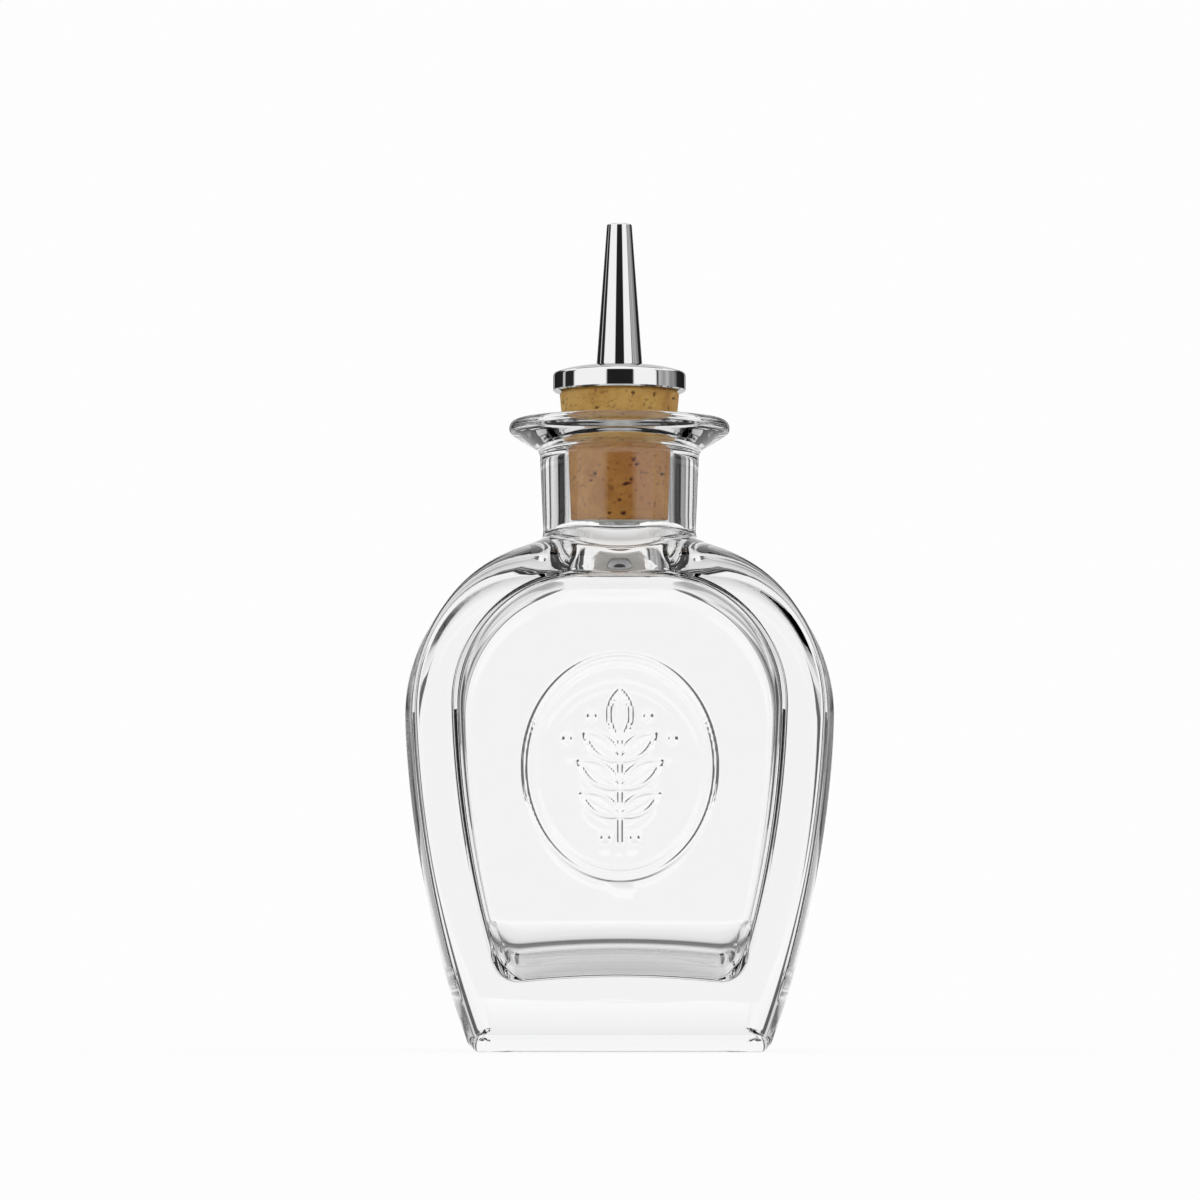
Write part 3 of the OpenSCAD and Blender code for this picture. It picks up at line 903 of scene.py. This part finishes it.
def pressPores(piece, c):
    # sinks the skin round pores, flecks and grain, and keeps their darkness for the material
    tint = piece.data.attributes.new("poreTint", "FLOAT", "POINT")
    pores = poreList(c)
    wide, high = c["fleckScale"]
    for vert in piece.data.vertices:
        x, y, z = vert.co / mm
        r = math.hypot(x, y)
        if r < c["barbR"] + c["skinDepth"]:
            continue
        facing = math.degrees(math.atan2(x, -y))
        ragged = c["ragged"] * noise.noise(Vector((x, y, z)) * c["raggedScale"])
        dark = poreDarkness(c, pores, facing, r, z, ragged)
        spot = Vector((x * wide, y * wide, z * high + c["fleckShift"]))
        fleck = smoothShare((noise.noise(spot) - c["fleckFrom"]) / c["fleckFade"])
        grain = 0.5 + 0.5 * noise.noise(Vector((x, y, z * c["grainFlat"])) * c["grainScale"])
        sink = max(dark * c["poreDepth"], fleck * c["fleckDepth"]) + c["grainDepth"] * grain
        vert.co.x *= 1 - sink / r
        vert.co.y *= 1 - sink / r
        tint.data[vert.index].value = max(dark, c["fleckDark"] * fleck)


def makeCork(c):
    piece = spinPiece("corkStopper", corkProfile(c), c["turnSteps"])
    pressPores(piece, c)
    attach(piece, "stopper")
    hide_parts("cork_stopper")
    return piece


def corkMaterial(c):
    material, s = startMaterial("naturalCork")
    place = s.node("TexCoord", output="Object")
    cloud = s.node("TexNoise", {"Vector": place, **c["cloud"]})
    patch = s.node("TexNoise", {"Vector": place, **c["patch"]})
    tone = cloud * c["cloudShare"] + patch * (1 - c["cloudShare"])
    tan = s.node("ValToRGB", {"Fac": tone}, {"stops": c["tan"]})
    height = place.axes()[2] / mm
    # the squeezed part in the neck is redder and stained, the end grain below it paler
    red = s.blend(1.0, tan, c["squeezed"], "MULTIPLY")
    stain = s.node("TexNoise", {"Vector": place, **c["stainPatch"]}).smooth(*c["stainFrom"])
    stained = s.blend(stain * c["stainShare"], red, c["stain"])
    body = s.blend(height.smooth(*c["squeezedTop"]), stained, tan)
    endLow, endHigh = (c["bottom"] + rise for rise in c["endGrainTop"])
    ends = s.blend(height.smooth(endLow, endHigh), c["endGrain"], body)
    pore = s.node("Attribute", None, {"attribute_name": "poreTint"}, output="Fac")
    colour = s.blend(pore * c["poreShare"], ends, c["poreColour"])
    bump = s.node("Bump", {"Height": cloud, **c["grainBump"]})
    shader = s.node("BsdfPrincipled", {"Base Color": colour, "Roughness": c["roughness"], "Normal": bump})
    s.node("OutputMaterial", {"Surface": shader})
    return material


dress(makeCork(cork), corkMaterial(cork))
print("cork done")

# studio: white floor and backdrop, and what metal and glass see around them
studio = {
    "background": 0.985,
    "eye": (-3.25 * mm, -1.0, 10 * mm),
    "aimZ": 75.08 * mm,
    "lens": 180.0,
    "sensor": 36.0,
    "nearest": 0.01,
    # compass degree (0 towards the camera, positive to the right, 180 behind the bottle) and brightness
    "leftSide": [(-180, 1.06), (-172, 1.06), (-171, 0.12), (-164.5, 0.12), (-163, 0.7), (-154, 0.85),
                 (-152, 0.7), (-138, 0.5), (-135, 0.02), (-117, 0.02), (-115, 0.6), (-111, 0.6),
                 (-108, 0.02), (-88, 0.02), (-84, 0.97), (-24, 0.97), (-21, 0.015), (0, 0.015)],
    "rightSide": [(0, 0.015), (23, 0.015), (26, 0.97), (66, 0.97), (69, 0.05), (71, 0.05), (73, 0.5),
                  (84, 0.3), (92, 0.5), (100, 0.25), (108, 0.3), (117, 0.15), (120, 0.02), (135, 0.02),
                  (139, 0.3), (153, 0.25), (156, 0.8), (163, 0.7), (164.5, 0.12), (171, 0.12), (172, 1.06),
                  (180, 1.06)],
    # degrees of height over which the sides give way to the ceiling
    "ceiling": 1.0,
    "ceilingFrom": (24, 34),
    # dark beam: degrees of height over which it comes and goes, and of compass over which it starts
    "beam": {"comes": (46, 52), "goes": (66, 72), "starts": (112, 128), "level": 0.03},
    # dark flag at each side of the backdrop: degrees of compass over which it comes and goes
    "flag": {"comes": (130, 136), "goes": (154, 158), "level": 0.02},
    "plain": 0.9,
    "floorHalf": 4.0,
    "floorMatt": 0.9,
    "floorGlow": 0.9,
    # painted light and shade in the floor's glow that metal and glass see: distance from the bottle's middle
    # in metres, and brightness
    "floorPaintedLightAndShade": [(0, 0.58), (0.014, 0.6), (0.02, 0.75), (0.024, 1.0), (0.031, 1.0), (0.034, 0.35),
                  (0.044, 0.3), (0.048, 0.08), (0.08, 0.08), (0.1, 0.5), (0.12, 0.72), (0.16, 0.82),
                  (0.3, 0.9), (0.45, 0.95), (0.8, 1.0), (2.5, 1.06), (4, 1.06)],
}


def rampOver(s, value, low, high, stops):
    # brightness along a value that runs from low to high
    stops = [((place - low) / (high - low), grey(level)) for place, level in stops]
    return s.node("ValToRGB", {"Fac": (value - low) / (high - low)}, {"stops": stops})


def lightPath(s, name):
    return s.node("LightPath", output=name)


def makeCamera(v):
    camera = bpy.data.objects.new("camera", bpy.data.cameras.new("camera"))
    bpy.context.scene.collection.objects.link(camera)
    camera.data.lens = v["lens"]
    camera.data.sensor_width = v["sensor"]
    camera.location = v["eye"]
    aim = Vector((v["eye"][0], 0, v["aimZ"]))
    camera.rotation_euler = (aim - camera.location).to_track_quat("-Z", "Y").to_euler()
    camera.data.clip_start = v["nearest"]
    bpy.context.scene.camera = camera


def makeFloor(v):
    # white to the camera; in metal and glass it glows with painted light and shade: painted light under the
    # bottle, a dark ring of painted shade round it, and as bright as the backdrop far away
    deselectAll()
    bpy.ops.mesh.primitive_plane_add(size=2 * v["floorHalf"], location=(0, 0, 0))
    floor = bpy.context.object
    floor.name = "floor"
    material, s = startMaterial("whiteFloor")
    place = s.node("TexCoord", output="Object")
    away = s.node("VectorMath", {0: place}, {"operation": "LENGTH"}, output="Value")
    # painted light and shade: to metal and glass the floor glows lighter under the bottle and dark in a ring
    # round it
    seen = rampOver(s, away, 0, v["floorHalf"], v["floorPaintedLightAndShade"])
    cameraRay = lightPath(s, "Is Camera Ray")
    clearRay = s.math("MAXIMUM", lightPath(s, "Is Glossy Ray"), lightPath(s, "Is Transmission Ray"))
    matt = s.node("BsdfDiffuse", {"Color": rgba(grey(v["floorMatt"]))})
    glow = s.node("Emission", {"Color": s.blend(cameraRay, seen, grey(1.0)), "Strength": 1.0})
    picked = s.math("MAXIMUM", cameraRay, clearRay) * v["floorGlow"]
    shader = s.node("MixShader", {0: picked, 1: matt, 2: glow})
    s.node("OutputMaterial", {"Surface": shader})
    dress(floor, material)


def makeWorld(v):
    world = bpy.data.worlds.new("studio")
    bpy.context.scene.world = world
    world.use_nodes = True
    world.node_tree.nodes.clear()
    s = Socket(world.node_tree)
    x, y, z = s.node("TexCoord", output="Generated").axes()
    compass = s.math("ARCTAN2", x, 0 - y) / math.pi * 180
    behind = s.math("ABSOLUTE", compass)
    up = s.math("ARCSINE", z) / math.pi * 180
    left = rampOver(s, compass, -180, 0, v["leftSide"])
    right = rampOver(s, compass, 0, 180, v["rightSide"])
    around = s.blend(s.math("GREATER_THAN", compass, 0), left, right)
    # above, a white ceiling with one dark beam behind the bottle
    beam, flag = v["beam"], v["flag"]
    beamShare = up.smooth(*beam["comes"]) * (1 - up.smooth(*beam["goes"])) * behind.smooth(*beam["starts"])
    ceiling = s.blend(beamShare, grey(v["ceiling"]), grey(beam["level"]))
    # metal sees a dark flag at each side of the backdrop
    straight = s.math("LESS_THAN", lightPath(s, "Transmission Depth"), 0.5)
    flagShare = behind.smooth(*flag["comes"]) * (1 - behind.smooth(*flag["goes"]))
    around = s.blend(lightPath(s, "Is Glossy Ray") * straight * flagShare, around, grey(flag["level"]))
    seen = s.blend(up.smooth(*v["ceilingFrom"]), around, ceiling)
    # light that a matt surface scatters is even, and the camera sees a plain backdrop
    scattered = s.math("GREATER_THAN", lightPath(s, "Diffuse Depth"), 0.5)
    plain = s.blend(scattered, seen, grey(v["plain"]))
    final = s.blend(lightPath(s, "Is Camera Ray"), plain, grey(v["background"]))
    back = s.node("Background", {"Color": final, "Strength": 1.0})
    s.node("OutputWorld", {"Surface": back})


makeCamera(studio)
makeFloor(studio)
makeWorld(studio)
bpy.context.scene.view_settings.view_transform = "Standard"
print("studio done")
